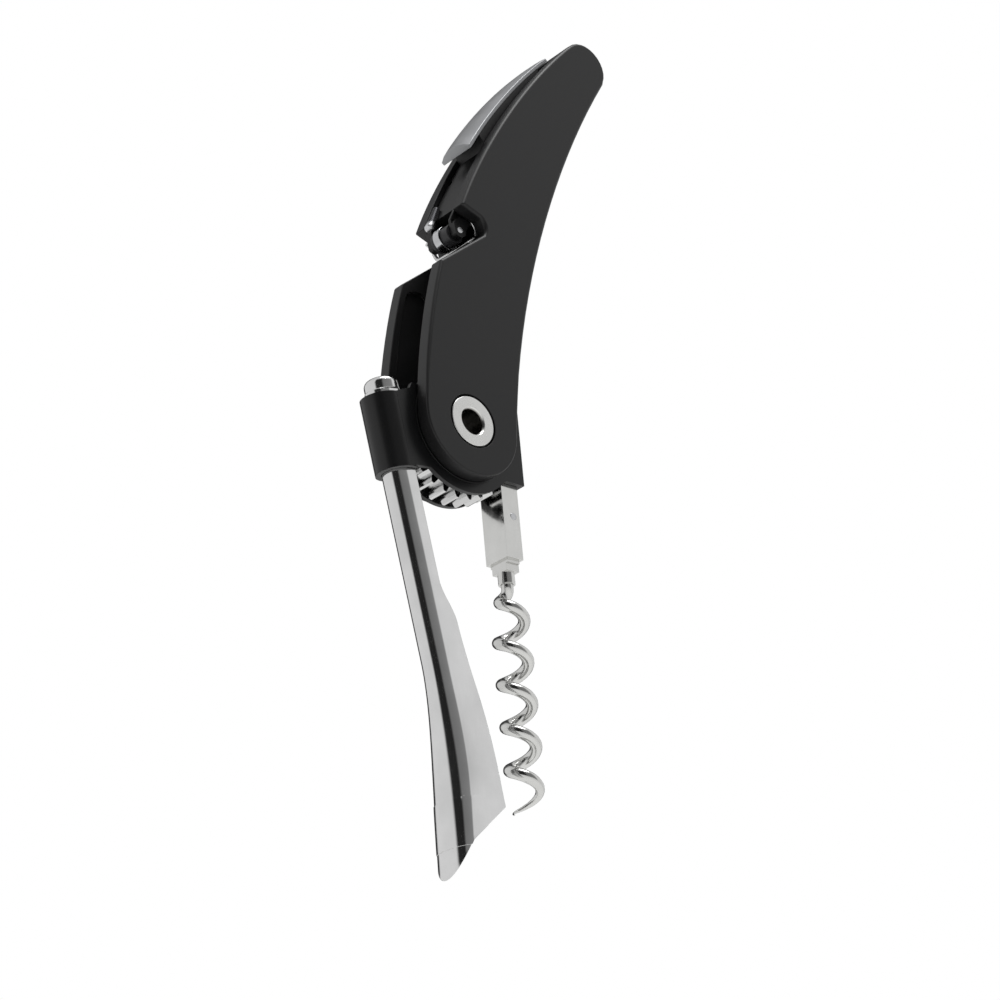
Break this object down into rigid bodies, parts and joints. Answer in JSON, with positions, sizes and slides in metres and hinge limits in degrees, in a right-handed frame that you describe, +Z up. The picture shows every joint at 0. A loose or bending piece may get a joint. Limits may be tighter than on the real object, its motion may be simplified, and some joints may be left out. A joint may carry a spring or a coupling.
{
  "type": "lever corkscrew",
  "caption": "Lever corkscrew with a banana-shaped handle, a geared frame, a leaning leg that braces on the bottle, and a worm on a toothed bar.",
  "frame": {"origin": "centre of the hollow pivot axle, on the middle plane", "axes": "+Z up along the worm's bar, +Y along the pivot axle, +X from the leg towards the worm"},
  "size_m": [0.072, 0.016, 0.2031],
  "materials": {
    "black_plastic": "moulded satin",
    "satin_black": "soft-touch satin",
    "steel": "ground",
    "gear_steel": "sintered, bright teeth",
    "bright_steel": "turned, satin bright",
    "acetal": "natural acetal",
    "brushed_plate": "brushed lengthwise",
    "rack_chrome": "die-cast, satin nickel",
    "leg_chrome": "polished nickel"
  },
  "bodies": {
    "frame": {"frame_body": "black_plastic", "washer_near": "black_plastic", "washer_far": "black_plastic"},
    "handle": {"handle_shell": "satin_black", "drive_gear": "gear_steel", "axle_tube": "bright_steel", "axle_cap": "bright_steel", "axle_bush_near": "acetal", "axle_bush_far": "acetal", "lever_pin": "steel", "notch_spring": "bright_steel"},
    "cutter": {"cutter_lever": "black_plastic", "roller_pin": "steel", "cutter_tooth": "steel", "thumb_plate": "brushed_plate"},
    "roller": {"cutter_roller": "black_plastic", "cutter_wheel": "steel"},
    "worm_bar": {"worm_rack": "rack_chrome", "worm_pin": "steel", "worm_ferrule": "rack_chrome", "worm": "rack_chrome"},
    "leg": {"leg_shell": "leg_chrome", "leg_rack": "gear_steel", "leg_top_cap": "leg_chrome", "foot_panel": "leg_chrome"}
  },
  "joints": [
    {"name": "handle_hinge", "type": "hinge", "parent": "frame", "child": "handle", "pos_m": [0, 0, 0], "axis": [0, 1, 0], "range_deg": [0, 115]},
    {"name": "leg_slide", "type": "slide", "parent": "frame", "child": "leg", "axis": [-0.1702, 0, 0.9854], "range_m": [0, 0.0282]},
    {"name": "worm_slide", "type": "slide", "parent": "frame", "child": "worm_bar", "axis": [0, 0, -1], "range_m": [0, 0.0232]},
    {"name": "cutter_press", "type": "hinge", "parent": "handle", "child": "cutter", "pos_m": [0.0145, 0, 0.058], "axis": [0, 1, 0], "range_deg": [0, 3], "stiffness_Nm_per_rad": 0.4, "springref_deg": -2.86},
    {"name": "roller_spin", "type": "hinge", "parent": "cutter", "child": "roller", "pos_m": [0.0043, 0, 0.0476], "axis": [0, 1, 0], "continuous": true}
  ],
  "couplings": [
    {"joint": "leg_slide", "follows": "handle_hinge", "m_per_rad": 0.014},
    {"joint": "worm_slide", "follows": "handle_hinge", "m_per_rad": 0.0115}
  ]
}
